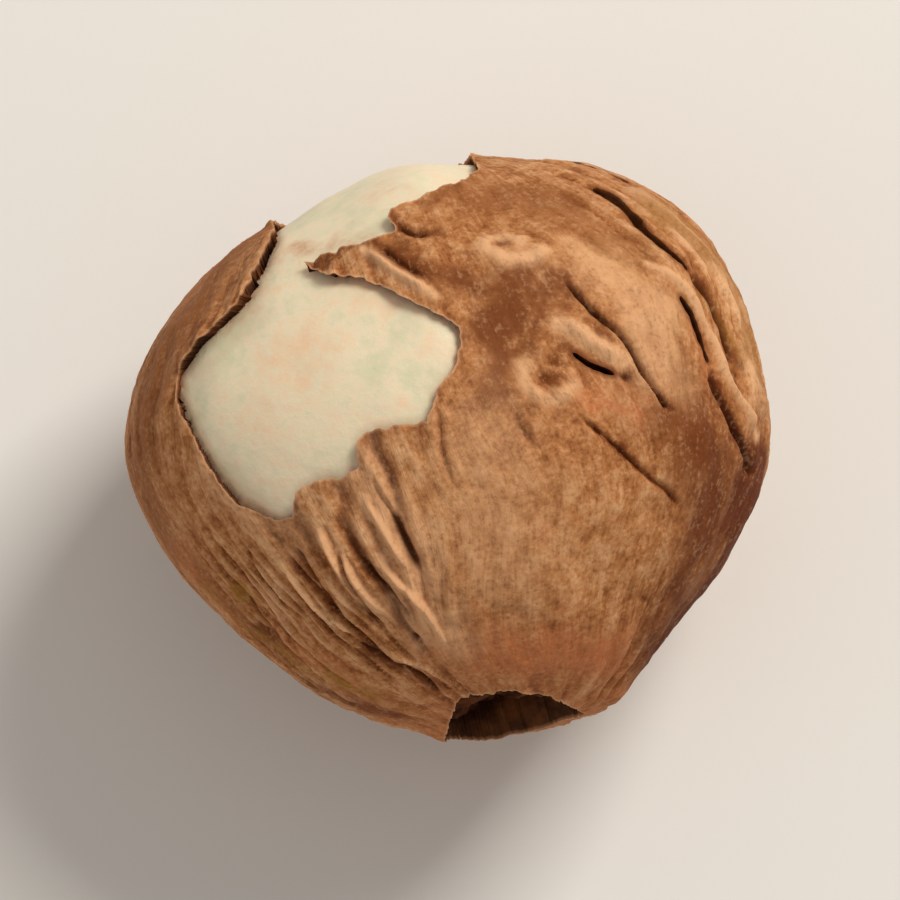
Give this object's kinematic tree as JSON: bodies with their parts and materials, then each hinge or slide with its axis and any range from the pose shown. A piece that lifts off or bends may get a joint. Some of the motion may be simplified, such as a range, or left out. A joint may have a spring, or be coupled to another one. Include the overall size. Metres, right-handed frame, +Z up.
{
  "type": "hazelnut kernel",
  "caption": "Shelled hazelnut kernel lying on its side, with wrinkled papery skin, a bare patch, split folds and a hollow blunt end.",
  "frame": {"origin": "under the middle of the kernel, on the plane it rests on", "axes": "+Z up from the flat resting spot, +X along the kernel's widest direction, with the hollow blunt end towards -Y and the bare patch on top towards -X"},
  "size_m": [0.0148, 0.0136, 0.0133],
  "materials": {
    "papery_skin": "matte",
    "bare_flesh": "satin"
  },
  "bodies": {
    "root": {"kernel": "papery_skin"}
  },
  "joints": []
}
